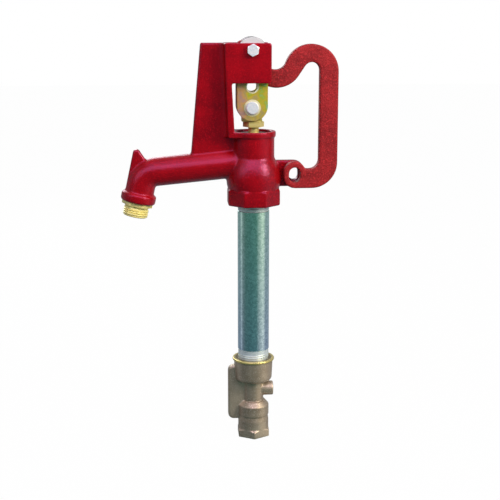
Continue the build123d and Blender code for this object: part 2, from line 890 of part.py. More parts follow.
# Plunger: a grooved body with two O-rings, and a seal held by a screw
groove_floor_r = plunger_bore_r - o_ring_squeeze - 2 * o_ring_r
with BuildPart() as plunger:
    rod(Plane.XY.offset(plunger_low_height), plunger_r, plunger_top_height - plunger_low_height)
    rod(Plane.XY.offset(rod_low_z), rod_r + seat_gap, plunger_top_height, Mode.SUBTRACT)
    rod(Plane.XY.offset(plunger_low_height), screw_r + seat_gap, screw_length, Mode.SUBTRACT)
    for groove_z in (lower_o_ring_height, upper_o_ring_height):
        with BuildSketch(Plane.XY.offset(groove_z - o_ring_r - seat_gap)):
            Circle(plunger_r + overrun)
            Circle(groove_floor_r - seat_gap, mode=Mode.SUBTRACT)
        extrude(amount=2 * (o_ring_r + seat_gap), mode=Mode.SUBTRACT)
save(plunger.part, "plunger")

with BuildPart() as plunger_o_rings:
    for groove_z in (lower_o_ring_height, upper_o_ring_height):
        with Locations((0, 0, groove_z)):
            Torus(groove_floor_r + o_ring_r, o_ring_r)
save(plunger_o_rings.part, "plunger_o_rings")

with BuildPart() as plunger_seal:
    ring(Plane.XY.offset(seat_height), seal_r, seal_hole_r, plunger_low_height - seat_height)
save(plunger_seal.part, "plunger_seal")

with BuildPart() as seal_screw:
    rod(Plane.XY.offset(seat_height), screw_head_r, -screw_head_height)
    rod(Plane.XY.offset(seat_height), screw_r, plunger_low_height - seat_height + screw_length)
save(seal_screw.part, "seal_screw")


# Handle
# One flat casting. The outline runs from the hub down into the trough, over the hump,
# down the grip, round the bend and back along the foot to the padlock boss.
fulcrum = (fulcrum_x, fulcrum_z)
hump = (fulcrum_x + grip_outer_out - hump_upper_r, fulcrum_z - hump_drop)
trough = on_circle(hump, hump_upper_r + trough_upper_r, trough_angle)
hump_inside = (fulcrum_x + grip_inner_out - hump_lower_r, fulcrum_z - hump_lower_drop)
trough_under = (fulcrum_x + trough_lower_out, fulcrum_z - trough_lower_drop)
bend_outside = (fulcrum_x + grip_outer_out - bend_outer_r, fulcrum_z - foot_low_drop + bend_outer_r)
bend_inside = (fulcrum_x + grip_inner_out - bend_inner_r, fulcrum_z - foot_top_drop + bend_inner_r)

hub_heading, hub_swing = crossing_angle(fulcrum, hub_r, trough, trough_upper_r)
hub_leave = hub_heading + hub_swing
rise_heading, rise_swing = crossing_angle(hump_inside, hump_lower_r, trough_under, trough_lower_r)
inside_leave = rise_heading - rise_swing
under_start = inside_leave + 180


def cam_radius(share):
    """Distance of the cam slot's centre from the fulcrum, along the handle's swing."""
    return cam_pin_drop - lift * share


def cam_point(share, offset=0.0):
    """Point on the cam slot's centre line, or set off square to it, at a share of the swing."""
    angle = -90 - handle_swing * share
    lean = degrees(atan2(lift / radians(handle_swing), cam_radius(share)))
    return on_circle(on_circle(fulcrum, cam_radius(share), angle), offset, angle - lean)


cam_half_width = cam_pin_r + run_gap
end_share = cam_end_gap / (cam_pin_drop * radians(handle_swing))
shares = [-end_share + (1 + 2 * end_share) * i / (cam_points - 1) for i in range(cam_points)]
wall_offset = cam_half_width + cam_wall
with BuildPart() as lock_boss:
    with BuildSketch(Plane.XZ):
        with Locations((lock_x, lock_z)):
            SlotOverall(lock_boss_length, lock_boss_width, rotation=90)
    extrude(amount=handle_half_thick, both=True)
    fillet(lock_boss.faces().filter_by(Axis.Y).edges(), handle_edge_round)

with BuildPart() as handle:
    with BuildSketch(Plane.XZ):
        with BuildLine():
            Line(fulcrum, on_circle(fulcrum, hub_r, hub_leave))
            Line(
                on_circle(fulcrum, hub_r, hub_leave),
                on_circle(trough, trough_upper_r, hub_leave + 180),
            )
            CenterArc(trough, trough_upper_r, hub_leave + 180, trough_angle - hub_leave)
            CenterArc(hump, hump_upper_r, trough_angle, -trough_angle)
            Line(on_circle(hump, hump_upper_r, 0), on_circle(bend_outside, bend_outer_r, 0))
            CenterArc(bend_outside, bend_outer_r, 0, -90)
            Polyline(
                on_circle(bend_outside, bend_outer_r, -90),
                (lock_x, fulcrum_z - foot_low_drop),
                (lock_x, fulcrum_z - foot_top_drop),
                on_circle(bend_inside, bend_inner_r, -90),
            )
            CenterArc(bend_inside, bend_inner_r, -90, 90)
            Line(on_circle(bend_inside, bend_inner_r, 0), on_circle(hump_inside, hump_lower_r, 0))
            CenterArc(hump_inside, hump_lower_r, 0, inside_leave)
            Line(
                on_circle(hump_inside, hump_lower_r, inside_leave),
                on_circle(trough_under, trough_lower_r, under_start),
            )
            CenterArc(trough_under, trough_lower_r, under_start, trough_lower_end_angle - under_start)
            Line(on_circle(trough_under, trough_lower_r, trough_lower_end_angle), fulcrum)
        make_face()
    extrude(amount=handle_half_thick, both=True)
    fillet(handle.faces().filter_by(Axis.Y).edges(), handle_edge_round)
    add(lock_boss.part)

    # Hub: a disc on the fulcrum and a fan that carries the cam slot
    with BuildSketch(Plane.XZ):
        with Locations(fulcrum):
            Circle(hub_r)
        with BuildLine():
            cam_back = Spline(*[cam_point(share, wall_offset) for share in shares])
            Polyline(cam_back @ 1, fulcrum, cam_back @ 0)
        make_face()
        with Locations(cam_point(shares[0]), cam_point(shares[-1])):
            Circle(wall_offset)
    extrude(amount=handle_half_thick, both=True)

    # Holes: padlock, fulcrum bolt and cam slot
    with BuildSketch(Plane.XZ):
        with Locations((lock_x, lock_z)):
            SlotOverall(lock_hole_length, lock_hole_width, rotation=90)
        with Locations(fulcrum):
            Circle(bolt_r + seat_gap)
        with Locations(cam_point(shares[0]), cam_point(shares[-1])):
            Circle(cam_half_width)
        with BuildLine():
            slot_back = Spline(*[cam_point(share, cam_half_width) for share in shares])
            slot_front = Spline(*[cam_point(share, -cam_half_width) for share in shares])
            Line(slot_back @ 0, slot_front @ 0)
            Line(slot_back @ 1, slot_front @ 1)
        make_face()
    extrude(amount=handle_half_thick, both=True, mode=Mode.SUBTRACT)
save(handle.part, "handle")
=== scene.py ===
# %% [markdown]
# # A frost-free garden standpipe
# The valve of this garden tap sits at the foot of its pipe, which is buried below the frost.
# Lifting the lever pulls a rod up through the pipe and opens it. The solids of the standpipe come
# from its CAD model and stay where they are. This lesson adds the looks: a camera and a light
# tent, then the finishes, then the pieces that plain solids lack, such as screw threads and the
# soft, sandy skin of a casting.

# %% Load the frame
import bpy
import json
import math
from mathutils import Matrix, Vector

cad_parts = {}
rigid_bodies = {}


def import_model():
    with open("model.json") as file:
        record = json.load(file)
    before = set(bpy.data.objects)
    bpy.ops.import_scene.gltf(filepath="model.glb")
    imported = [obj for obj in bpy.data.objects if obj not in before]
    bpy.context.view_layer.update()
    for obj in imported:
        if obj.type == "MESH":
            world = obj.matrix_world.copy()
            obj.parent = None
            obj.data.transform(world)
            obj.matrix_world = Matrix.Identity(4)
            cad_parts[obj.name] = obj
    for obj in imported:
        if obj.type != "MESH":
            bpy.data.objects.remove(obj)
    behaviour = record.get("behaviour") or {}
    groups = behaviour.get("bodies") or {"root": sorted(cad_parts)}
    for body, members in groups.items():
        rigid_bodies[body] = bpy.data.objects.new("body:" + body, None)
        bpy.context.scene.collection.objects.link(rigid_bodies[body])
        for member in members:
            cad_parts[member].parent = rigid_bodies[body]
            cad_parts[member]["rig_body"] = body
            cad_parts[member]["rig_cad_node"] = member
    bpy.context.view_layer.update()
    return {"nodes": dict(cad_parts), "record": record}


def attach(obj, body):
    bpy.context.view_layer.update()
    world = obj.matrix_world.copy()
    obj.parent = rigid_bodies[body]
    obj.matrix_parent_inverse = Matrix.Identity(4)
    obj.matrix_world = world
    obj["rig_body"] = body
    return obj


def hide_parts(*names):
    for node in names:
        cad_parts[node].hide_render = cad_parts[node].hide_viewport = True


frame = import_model()
nodes = frame["nodes"]

# %% [markdown]
# ## Camera
# The photograph looks down on the standpipe by about twelve degrees, from roughly a metre away.
# A camera could be turned by hand until the view fits. Here it is pointed by a sum instead: the
# line from its place to a spot on the pipe gives its turn, so its place can be changed without
# losing the standpipe. A long lens keeps the upright edges nearly parallel.

# %% Camera
eye = Vector((-0.085, -1.1015, 0.45))
target = Vector((-0.0036, 0.0, 0.2065))
bpy.ops.object.camera_add(location=eye)
camera = bpy.context.object
camera.name = "camera"
camera.rotation_euler = (target - eye).to_track_quat("-Z", "Y").to_euler()
camera.data.lens = 76.8
camera.data.sensor_width = 36.0
camera.data.clip_start = 0.01
bpy.context.scene.camera = camera
bpy.context.scene.view_settings.view_transform = "Standard"
print("camera distance", round((target - eye).length, 3))

# %% [markdown]
# ## Helpers for node trees
# Finishes and lights are trees of nodes. They could be drawn in the node editor. In a script, a
# few small helpers keep them readable: one makes a group with named sockets, one feeds a socket
# with a plain value or with another node's output, and the others add one kind of node each and
# hand back its result.


# %% Group helper
def new_group(name, inputs, outputs):
    """Make a shader group with named sockets and return its tree and its two end nodes."""
    group = bpy.data.node_groups.new(name, "ShaderNodeTree")
    for label, kind, value in inputs:
        socket = group.interface.new_socket(name=label, in_out="INPUT", socket_type=kind)
        if value is not None:
            socket.default_value = value
    for label, kind in outputs:
        group.interface.new_socket(name=label, in_out="OUTPUT", socket_type=kind)
    start = group.nodes.new("NodeGroupInput")
    end = group.nodes.new("NodeGroupOutput")
    return group, start, end


# %% Node helpers
def feed(tree, socket, value):
    """Link a socket to another node's output, or set it to a plain value."""
    if isinstance(value, bpy.types.NodeSocket):
        tree.links.new(value, socket)
    elif socket.type == "RGBA":
        socket.default_value = (*value, 1.0)
    else:
        socket.default_value = value


def split(tree, vector):
    """Split a vector and return its X, Y and Z."""
    node = tree.nodes.new("ShaderNodeSeparateXYZ")
    tree.links.new(vector, node.inputs["Vector"])
    return node.outputs["X"], node.outputs["Y"], node.outputs["Z"]


def calculate(tree, operation, *values):
    """Add a math node and return its result."""
    node = tree.nodes.new("ShaderNodeMath")
    node.operation = operation
    for socket, value in zip(node.inputs, values):
        feed(tree, socket, value)
    return node.outputs["Value"]


def spread(tree, value, low, high, to_low=0.0, to_high=1.0):
    """Map a value from one interval to another, clamped, and return the result."""
    node = tree.nodes.new("ShaderNodeMapRange")
    tree.links.new(value, node.inputs["Value"])
    node.inputs["From Min"].default_value = low
    node.inputs["From Max"].default_value = high
    node.inputs["To Min"].default_value = to_low
    node.inputs["To Max"].default_value = to_high
    return node.outputs["Result"]


def colour_ramp(tree, factor, stops):
    """Add a ramp with its (position, colour) stops in rising order and return its colour."""
    node = tree.nodes.new("ShaderNodeValToRGB")
    while len(node.color_ramp.elements) < len(stops):
        node.color_ramp.elements.new(0.5)
    for element, (position, colour) in zip(node.color_ramp.elements, stops):
        element.position = position
        element.color = (*colour, 1.0)
    tree.links.new(factor, node.inputs["Fac"])
    return node.outputs["Color"]


# %% [markdown]
# ## Light tent
# A catalogue picture is lit by large soft boxes in a tent that is open towards the camera. What
# the metal shows depends on the compass direction: dim where the tent is open, pale at the sides
# and behind. Its walls could be modelled, but they would stand in the way of the other views. So
# the tent is a colour for each compass direction, held by one group, and both the world and the
# floor take it from there. Zero degrees is towards the camera, and ninety is to its right.

# %% Compass light
tent, start, end = new_group(
    "tent_light",
    [("Vector", "NodeSocketVector", None)],
    [("Color", "NodeSocketColor")],
)
east, north, _ = split(tent, start.outputs["Vector"])
bearing = calculate(tent, "ARCTAN2", east, calculate(tent, "MULTIPLY", north, -1.0))
tent_stops = [
    (-180.0, (0.42, 0.46, 0.50)),
    (-116.0, (0.24, 0.29, 0.32)),
    (-102.0, (0.56, 0.61, 0.63)),
    (-88.0, (0.22, 0.27, 0.28)),
    (-62.0, (0.10, 0.19, 0.18)),
    (-20.0, (0.09, 0.20, 0.19)),
    (20.0, (0.13, 0.26, 0.24)),
    (42.0, (0.50, 0.56, 0.52)),
    (70.0, (0.88, 0.90, 0.80)),
    (96.0, (0.34, 0.38, 0.43)),
    (180.0, (0.42, 0.46, 0.50)),
]
cloth = colour_ramp(
    tent,
    spread(tent, bearing, -math.pi, math.pi),
    [((degrees + 180.0) / 360.0, colour) for degrees, colour in tent_stops],
)
feed(tent, end.inputs["Color"], cloth)
print("tent stops", len(tent_stops))

# %% [markdown]
# ## World
# The world lights the standpipe from everywhere, and a white paper background is wanted behind
# it. One plain white world would give both, but its light would be flat and the metal would look
# chalky. The Light Path node tells the rays apart: the camera sees white, and all other rays see
# the tent. Matt surfaces get less of it, because the lamps light those.


# %% World helpers
def place_group(tree, group, vector, **values):
    """Place a shared group, fed with coordinates and with its own values."""
    node = tree.nodes.new("ShaderNodeGroup")
    node.node_tree = group
    tree.links.new(vector, node.inputs["Vector"])
    for label, value in values.items():
        feed(tree, node.inputs[label], value)
    return node


def glow(tree, kind, colour, strength):
    """Add a Background or an Emission and return its shader."""
    node = tree.nodes.new("ShaderNode" + kind)
    feed(tree, node.inputs["Color"], colour)
    feed(tree, node.inputs["Strength"], strength)
    return node.outputs[0]


def mix_shaders(tree, factor, first, second):
    """Mix two shaders by a factor and return the result."""
    node = tree.nodes.new("ShaderNodeMixShader")
    tree.links.new(factor, node.inputs["Fac"])
    tree.links.new(first, node.inputs[1])
    tree.links.new(second, node.inputs[2])
    return node.outputs["Shader"]


# %% World
white = (1.0, 1.0, 1.0)
tent_in_mirrors, tent_on_matt = 0.9, 0.22
world = bpy.data.worlds.new("tent")
bpy.context.scene.world = world
world.use_nodes = True
tree = world.node_tree
tree.nodes.clear()
rays = tree.nodes.new("ShaderNodeLightPath")
direction = tree.nodes.new("ShaderNodeTexCoord")
sides = place_group(tree, tent, direction.outputs["Generated"])
strength = spread(
    tree, rays.outputs["Is Diffuse Ray"], 0.0, 1.0, to_low=tent_in_mirrors, to_high=tent_on_matt
)
walls = glow(tree, "Background", sides.outputs["Color"], strength)
paper_white = glow(tree, "Background", white, 1.0)
output = tree.nodes.new("ShaderNodeOutputWorld")
shown = mix_shaders(tree, rays.outputs["Is Camera Ray"], walls, paper_white)
tree.links.new(shown, output.inputs["Surface"])
print("world", world.name, "nodes", len(tree.nodes))

# %% [markdown]
# ## Lamps
# Sun or spot lamps would draw small, hard glints on the enamel. A studio hangs soft boxes, and
# Blender has them as area lamps: the larger the area, the softer the shadow. Two wide ones above
# give the long sheen on bulb, spout and handle, slightly violet as in the photograph. A small
# warm one on the right gives the castings a light and a dark side, and two cool ones keep the
# left side and the back from going black.


# %% Lamps
middle = Vector((0.0, 0.0, 0.25))


def soft_box(name, place, size, power, tint):
    """Add a rectangular area lamp that looks at the middle of the standpipe."""
    bpy.ops.object.light_add(type="AREA", location=place)
    lamp = bpy.context.object
    lamp.name = name
    lamp.data.shape = "RECTANGLE"
    lamp.data.size, lamp.data.size_y = size
    lamp.data.energy = power
    lamp.data.color = tint
    aim = middle - Vector(place)
    lamp.rotation_euler = aim.to_track_quat("-Z", "Y").to_euler()
    return lamp


lamps = [
    soft_box("top_box", (0.1, -0.5, 1.4), (1.5, 1.1), 6.0, (0.93, 0.78, 1.0)),
    soft_box("brow_box", (-0.1, -1.2, 1.25), (2.2, 0.8), 14.0, (0.93, 0.76, 1.0)),
    soft_box("key_box", (1.25, -0.95, 1.05), (0.7, 0.7), 25.0, (1.0, 0.93, 0.76)),
    soft_box("left_box", (-1.2, -0.8, 0.9), (0.8, 0.8), 3.2, (0.93, 0.98, 1.0)),
    soft_box("back_box", (-0.5, 1.3, 0.9), (0.9, 0.9), 9.0, (0.97, 0.98, 1.0)),
]
print("lamps", len(lamps), "watts", sum(lamp.data.energy for lamp in lamps))

# %% [markdown]
# ## Floor
# The standpipe stands on white paper. A lit white sheet would either turn grey or throw light up
# on the castings. This sheet is dark grey for light that falls on it, and for the camera it glows
# white over most of its own shade, so only the soft shadow is left. Mirrors see the tent in it,
# so the zinc shows no black floor. It lies a hair below the foot, so that the two don't flicker.

# %% Floor
floor_drop = 0.0006
bpy.ops.object.select_all(action="DESELECT")
bpy.ops.mesh.primitive_plane_add(size=12.0, location=(0.0, 0.0, -floor_drop))
floor = bpy.context.object
floor.name = "floor"
paper = bpy.data.materials.new("paper_floor")
paper.use_nodes = True
floor.data.materials.append(paper)
print("floor below", floor.location.z)

# %% Paper
paper_glow, paper_cover = 1.06, 0.93
tree = paper.node_tree
matt = tree.nodes["Principled BSDF"]
matt.inputs["Base Color"].default_value = (0.1, 0.1, 0.1, 1.0)
matt.inputs["Roughness"].default_value = 0.9
rays = tree.nodes.new("ShaderNodeLightPath")
ground = tree.nodes.new("ShaderNodeTexCoord")
sides = place_group(tree, tent, ground.outputs["Object"])
mirrored = glow(tree, "Emission", sides.outputs["Color"], tent_in_mirrors)
bright = glow(tree, "Emission", white, paper_glow)
bounced = calculate(
    tree, "MAXIMUM", rays.outputs["Is Glossy Ray"], rays.outputs["Is Transmission Ray"]
)
looked_at = calculate(tree, "MULTIPLY", rays.outputs["Is Camera Ray"], paper_cover)
to_mirrors = mix_shaders(tree, bounced, matt.outputs["BSDF"], mirrored)
to_camera = mix_shaders(tree, looked_at, to_mirrors, bright)
tree.links.new(to_camera, tree.nodes["Material Output"].inputs["Surface"])
print("paper", paper.name, "nodes", len(tree.nodes))

# %% [markdown]
# ## Shared effects
# More than one finish shows the same marks of the workshop: the grain of a sand mould, the rings
# of a lathe, the crystals of hot zinc and the pale ring that a washer rubs. Each could be drawn
# anew in every material. Here each is a node group, made once and placed in each finish with its
# own values, so that a change to the effect changes all of them.


# %% Effect helpers
def calculate_vector(tree, operation, *values):
    """Add a vector math node and return its result, which is a number for a length."""
    node = tree.nodes.new("ShaderNodeVectorMath")
    node.operation = operation
    for socket, value in zip(node.inputs, values):
        feed(tree, socket, value)
    return node.outputs["Value" if operation == "LENGTH" else "Vector"]


def noise(tree, vector, scale, detail, roughness=0.55):
    """Add a noise texture, with its scale per metre, and return its node."""
    texture = tree.nodes.new("ShaderNodeTexNoise")
    feed(tree, texture.inputs["Vector"], vector)
    feed(tree, texture.inputs["Scale"], scale)
    texture.inputs["Detail"].default_value = detail
    texture.inputs["Roughness"].default_value = roughness
    return texture


# %% [markdown]
# ### Cast grain
# Molten metal takes the print of the sand that it is poured in: grains of a millimetre or so, on
# wider, shallow lumps. One noise looks too even for that, so a fine and a coarse one are added
# for the relief. The tips of the grains give the flecks where enamel or patina is thin, and a
# third, wide noise gives the clouds in the colour.

# %% Cast grain
cast_grain, start, end = new_group(
    "cast_grain",
    [("Vector", "NodeSocketVector", None), ("Grain", "NodeSocketFloat", 900.0)],
    [("Height", "NodeSocketFloat"), ("Fleck", "NodeSocketFloat"), ("Blotch", "NodeSocketFloat")],
)
where = start.outputs["Vector"]
grain = start.outputs["Grain"]
sand = noise(cast_grain, where, scale=grain, detail=3.0, roughness=0.6).outputs["Fac"]
lumps = noise(cast_grain, where, scale=160.0, detail=2.0, roughness=0.5).outputs["Fac"]
clouds = noise(cast_grain, where, scale=38.0, detail=3.0, roughness=0.6).outputs["Fac"]
lump_share = 1.6
relief = calculate(cast_grain, "MULTIPLY_ADD", lumps, lump_share, sand)
feed(cast_grain, end.inputs["Height"], relief)
feed(cast_grain, end.inputs["Fleck"], spread(cast_grain, sand, low=0.52, high=0.68))
feed(cast_grain, end.inputs["Blotch"], spread(cast_grain, clouds, low=0.36, high=0.64))
print("group", cast_grain.name)

# %% [markdown]
# ### Turned rings
# A lathe leaves fine rings round the axis of a piece. A wave texture would draw them all alike.
# A noise is used, with its coordinates squeezed to almost nothing across the axis, so that it
# changes along the axis only and every ring differs from the next.

# %% Turned rings
turned_rings, start, end = new_group(
    "turned_rings",
    [("Vector", "NodeSocketVector", None), ("Rings", "NodeSocketFloat", 2600.0)],
    [("Height", "NodeSocketFloat"), ("Streak", "NodeSocketFloat")],
)
squeeze = (0.02, 0.02, 1.0)
along = calculate_vector(turned_rings, "MULTIPLY", start.outputs["Vector"], squeeze)
rings = start.outputs["Rings"]
lines = noise(turned_rings, along, scale=rings, detail=2.0, roughness=0.7).outputs["Fac"]
feed(turned_rings, end.inputs["Height"], lines)
feed(turned_rings, end.inputs["Streak"], spread(turned_rings, lines, low=0.35, high=0.65))
print("group", turned_rings.name)

# %% [markdown]
# ### Crystal spangle
# Hot zinc sets in crystals, each a little lighter or darker than its neighbour. A Voronoi texture
# gives such cells, but with straight sides, like a honeycomb. A noise pushes the coordinates
# about first, and the sides come out ragged. The distance to a cell's middle gives the relief.

# %% Crystal spangle
spangle, start, end = new_group(
    "spangle",
    [("Vector", "NodeSocketVector", None), ("Crystals", "NodeSocketFloat", 260.0)],
    [("Shade", "NodeSocketFloat"), ("Edge", "NodeSocketFloat")],
)
where = start.outputs["Vector"]
push = (0.004, 0.004, 0.004)
warp = noise(spangle, where, scale=420.0, detail=2.0)
ragged = calculate_vector(spangle, "MULTIPLY_ADD", warp.outputs["Color"], push, where)
cells = spangle.nodes.new("ShaderNodeTexVoronoi")
feed(spangle, cells.inputs["Vector"], ragged)
feed(spangle, cells.inputs["Scale"], start.outputs["Crystals"])
channels = spangle.nodes.new("ShaderNodeSeparateColor")
feed(spangle, channels.inputs["Color"], cells.outputs["Color"])
feed(spangle, end.inputs["Shade"], channels.outputs["Red"])
feed(spangle, end.inputs["Edge"], spread(spangle, cells.outputs["Distance"], low=0.0, high=0.6))
print("group", spangle.name)

# %% [markdown]
# ### Round band
# The flat links show a pale ring where a pin or a washer has rubbed the plating. It could be a
# thin disc laid on the link, but a disc casts a shadow and this is only a change of colour. The
# group measures how far a spot is from a centre, seen from the front, and says whether that lies
# between two radii.

# %% Round band
round_band, start, end = new_group(
    "round_band",
    [
        ("Vector", "NodeSocketVector", None),
        ("Centre", "NodeSocketVector", None),
        ("Inner", "NodeSocketFloat", 0.006),
        ("Outer", "NodeSocketFloat", 0.008),
    ],
    [("Mask", "NodeSocketFloat")],
)
front_only = (1.0, 0.0, 1.0)
apart = calculate_vector(round_band, "SUBTRACT", start.outputs["Vector"], start.outputs["Centre"])
radius = calculate_vector(
    round_band, "LENGTH", calculate_vector(round_band, "MULTIPLY", apart, front_only)
)
past = calculate(round_band, "GREATER_THAN", radius, start.outputs["Inner"])
short = calculate(round_band, "LESS_THAN", radius, start.outputs["Outer"])
feed(round_band, end.inputs["Mask"], calculate(round_band, "MULTIPLY", past, short))
print("group", round_band.name)

# %% [markdown]
# ## Finishes
# Each finish is one Principled shader. What is the same all over is set on the shader itself,
# and what changes over the surface comes from the groups. All of them read Object coordinates,
# which stick to a piece when it moves and need no unwrapping.


# %% Finish helpers
def finish(name, roughness, metallic=0.0, specular=0.5):
    """Start a finish: a material with its Principled shader and object coordinates."""
    material = bpy.data.materials.new(name)
    material.use_nodes = True
    tree = material.node_tree
    shader = tree.nodes["Principled BSDF"]
    shader.inputs["Roughness"].default_value = roughness
    shader.inputs["Metallic"].default_value = metallic
    shader.inputs["Specular IOR Level"].default_value = specular
    where = tree.nodes.new("ShaderNodeTexCoord")
    return material, tree, shader, where.outputs["Object"]


def mixed(tree, factor, first, second):
    """Mix two colours by a factor and return the result."""
    node = tree.nodes.new("ShaderNodeMix")
    node.data_type = "RGBA"
    # The node has sockets for each kind of data, and 6, 7 and 2 are those for colours.
    tree.links.new(factor, node.inputs[0])
    feed(tree, node.inputs[6], first)
    feed(tree, node.inputs[7], second)
    return node.outputs[2]


def bumped(tree, shader, height, strength, distance):
    """Feed a height to the shader's normal through a bump."""
    bump = tree.nodes.new("ShaderNodeBump")
    bump.inputs["Strength"].default_value = strength
    bump.inputs["Distance"].default_value = distance
    tree.links.new(height, bump.inputs["Height"])
    tree.links.new(bump.outputs["Normal"], shader.inputs["Normal"])


# %% [markdown]
# ### Red enamel
# Head and handle are cast iron, dipped in thick red enamel. It could be one flat red under a clear
# coat, but the real one is darker in its clouds and paler on the tips of the grain. The head is
# glossy and its shine is tinted, and the handle, which hands have dulled, is rougher. One helper
# makes both, so that they stay of one kind.


# %% Red enamel
def enamel(name, deep, bright, tint, roughness, specular, grain, relief):
    """Cast iron under red enamel: cloudy colour and sandy relief."""
    material, tree, shader, where = finish(name, roughness, specular=specular)
    shader.inputs["Specular Tint"].default_value = (*tint, 1.0)
    skin = place_group(tree, cast_grain, where, Grain=grain)
    fleck_gain, fleck_lift = 1.3, 0.0015
    fleck = tuple(fleck_gain * channel + fleck_lift for channel in bright)
    cloudy = mixed(tree, skin.outputs["Blotch"], deep, bright)
    flecked = mixed(tree, skin.outputs["Fleck"], cloudy, fleck)
    feed(tree, shader.inputs["Base Color"], flecked)
    bumped(tree, shader, skin.outputs["Height"], strength=0.5, distance=relief)
    return material


red_enamel = enamel(
    "red_enamel",
    deep=(0.205, 0.0008, 0.0026), bright=(0.32, 0.0012, 0.004), tint=(1.0, 0.32, 0.66),
    roughness=0.26, specular=0.6, grain=620.0, relief=0.0003,
)
handle_enamel = enamel(
    "handle_enamel",
    deep=(0.23, 0.008, 0.011), bright=(0.36, 0.015, 0.018), tint=(1.0, 0.8, 0.8),
    roughness=0.6, specular=0.3, grain=520.0, relief=0.0006,
)
print(red_enamel.name, handle_enamel.name)

# %% [markdown]
# ### Galvanised pipe
# The casing pipe is steel with a coat of zinc, and its two ends are cut bare for the threads.
# Three materials on three stretches of the pipe would do that, but the visual model is simpler
# with one. So one finish looks at the height of a spot: between the two cuts it shows crystals,
# bluer low down and greener high up as in the photograph, and past them it is paler, rougher and
# less of a mirror.

# %% Zinc crystals
pipe_crystals = 560.0
galvanised, tree, shader, where = finish("galvanised_pipe", 0.2, metallic=1.0)
crystals = place_group(tree, spangle, where, Crystals=pipe_crystals)
_, _, height = split(tree, where)
rise = spread(tree, height, low=0.1, high=0.25)
dull = mixed(tree, rise, (0.42, 0.53, 0.66), (0.44, 0.69, 0.57))
clear = mixed(tree, rise, (0.66, 0.80, 0.95), (0.76, 1.0, 0.90))
zinc = mixed(tree, crystals.outputs["Shade"], dull, clear)
pits = noise(tree, where, scale=380.0, detail=2.0, roughness=0.6)
skin = calculate(tree, "ADD", crystals.outputs["Edge"], pits.outputs["Fac"])
bumped(tree, shader, skin, strength=0.22, distance=0.00012)
print(galvanised.name, "crystals per metre", pipe_crystals)

# %% Cut ends
pipe_foot_cut, pipe_top_cut = 0.0985, 0.2492
cut_blend = 0.0004
fresh_cut = (0.72, 0.82, 0.84)
above = spread(tree, height, pipe_top_cut, pipe_top_cut + cut_blend)
below = spread(tree, height, pipe_foot_cut + cut_blend, pipe_foot_cut)
threaded = calculate(tree, "MAXIMUM", above, below)
rough = spread(tree, threaded, 0.0, 1.0, to_low=0.13, to_high=0.36)
metal = spread(tree, threaded, 0.0, 1.0, to_low=1.0, to_high=0.5)
feed(tree, shader.inputs["Base Color"], mixed(tree, threaded, zinc, fresh_cut))
feed(tree, shader.inputs["Roughness"], rough)
feed(tree, shader.inputs["Metallic"], metal)
print("plated from", pipe_foot_cut, "to", pipe_top_cut)

# %% [markdown]
# ### Sand-cast bronze
# The foot valve is bronze as it left the sand, dull and brown-grey, and only its top is turned
# bright, with a yellow lip round a hollow that is painted dark as painted shade. The same grain as
# on the iron is used, finer. The turned top is found by its height, and the lip by its distance
# from the pipe's axis.

# %% Sand-cast bronze
bronze, tree, shader, where = finish("bronze_casting", 0.5, metallic=0.7)
skin = place_group(tree, cast_grain, where, Grain=800.0)
cloudy = mixed(tree, skin.outputs["Blotch"], (0.350, 0.272, 0.196), (0.510, 0.416, 0.312))
flecked = mixed(tree, skin.outputs["Fleck"], cloudy, (0.60, 0.52, 0.41))
bumped(tree, shader, skin.outputs["Height"], strength=0.3, distance=0.00022)
_, _, height = split(tree, where)
turned_top = spread(tree, height, low=0.0859, high=0.0861)
level_only = (1.0, 1.0, 0.0)
outward = calculate_vector(
    tree, "LENGTH", calculate_vector(tree, "MULTIPLY", where, level_only)
)
lip = spread(tree, outward, low=0.0192, high=0.0202)
# Inside the lip the hollow is painted dark: painted shade.
lip_and_hollow_shade = mixed(tree, lip, (0.22, 0.17, 0.07), (0.72, 0.59, 0.22))
rough = spread(tree, turned_top, 0.0, 1.0, to_low=0.44, to_high=0.24)
feed(tree, shader.inputs["Base Color"], mixed(tree, turned_top, flecked, lip_and_hollow_shade))
feed(tree, shader.inputs["Roughness"], rough)
print(bronze.name)

# %% [markdown]
# ### Machined metals
# Nozzle, stem, rod and small inner pieces are turned from bar. A metal with one even shine would
# look like foil, because real turned metal has rings that spread its glints. The rings run round
# the Z axis, and for the nozzle a Mapping node tips them into line with the slanted outlet.


# %% Machined metals
def machined(name, dark, light, roughness, rings, tilt=0.0, metallic=1.0):
    """Turned metal: fine rings round the piece's axis and a streaky shade."""
    material, tree, shader, where = finish(name, roughness, metallic=metallic)
    turn = tree.nodes.new("ShaderNodeMapping")
    turn.inputs["Rotation"].default_value = (0.0, tilt, 0.0)
    feed(tree, turn.inputs["Vector"], where)
    marks = place_group(tree, turned_rings, turn.outputs["Vector"], Rings=rings)
    feed(tree, shader.inputs["Base Color"], mixed(tree, marks.outputs["Streak"], dark, light))
    bumped(tree, shader, marks.outputs["Height"], strength=0.25, distance=0.0001)
    return material


outlet_tilt = math.radians(12.7)
brass = machined(
    "machined_brass", dark=(0.74, 0.60, 0.16), light=(0.90, 0.78, 0.32),
    roughness=0.3, rings=2400.0, metallic=0.45,
)
nozzle_brass = machined(
    "nozzle_brass", dark=(0.88, 0.74, 0.20), light=(1.0, 0.93, 0.38),
    roughness=0.26, rings=900.0, tilt=-outlet_tilt, metallic=0.15,
)
# This dark brass is painted shade for two small pieces that lie in shade.
shade_brass = machined(
    "shade_brass", dark=(0.10, 0.06, 0.04), light=(0.17, 0.11, 0.07), roughness=0.4, rings=1500.0
)
rod_steel = machined(
    "rod_steel", dark=(0.42, 0.44, 0.45), light=(0.58, 0.6, 0.6), roughness=0.35, rings=1500.0
)
print(brass.name, nozzle_brass.name, shade_brass.name, rod_steel.name)

# %% [markdown]
# ### Bright zinc
# Bolts and nuts have a thin, almost white zinc plating. Full metal would turn dark in the open
# tent, so this finish is only partly metal, which keeps its own colour in view. Small crystals
# give it a slight unevenness.

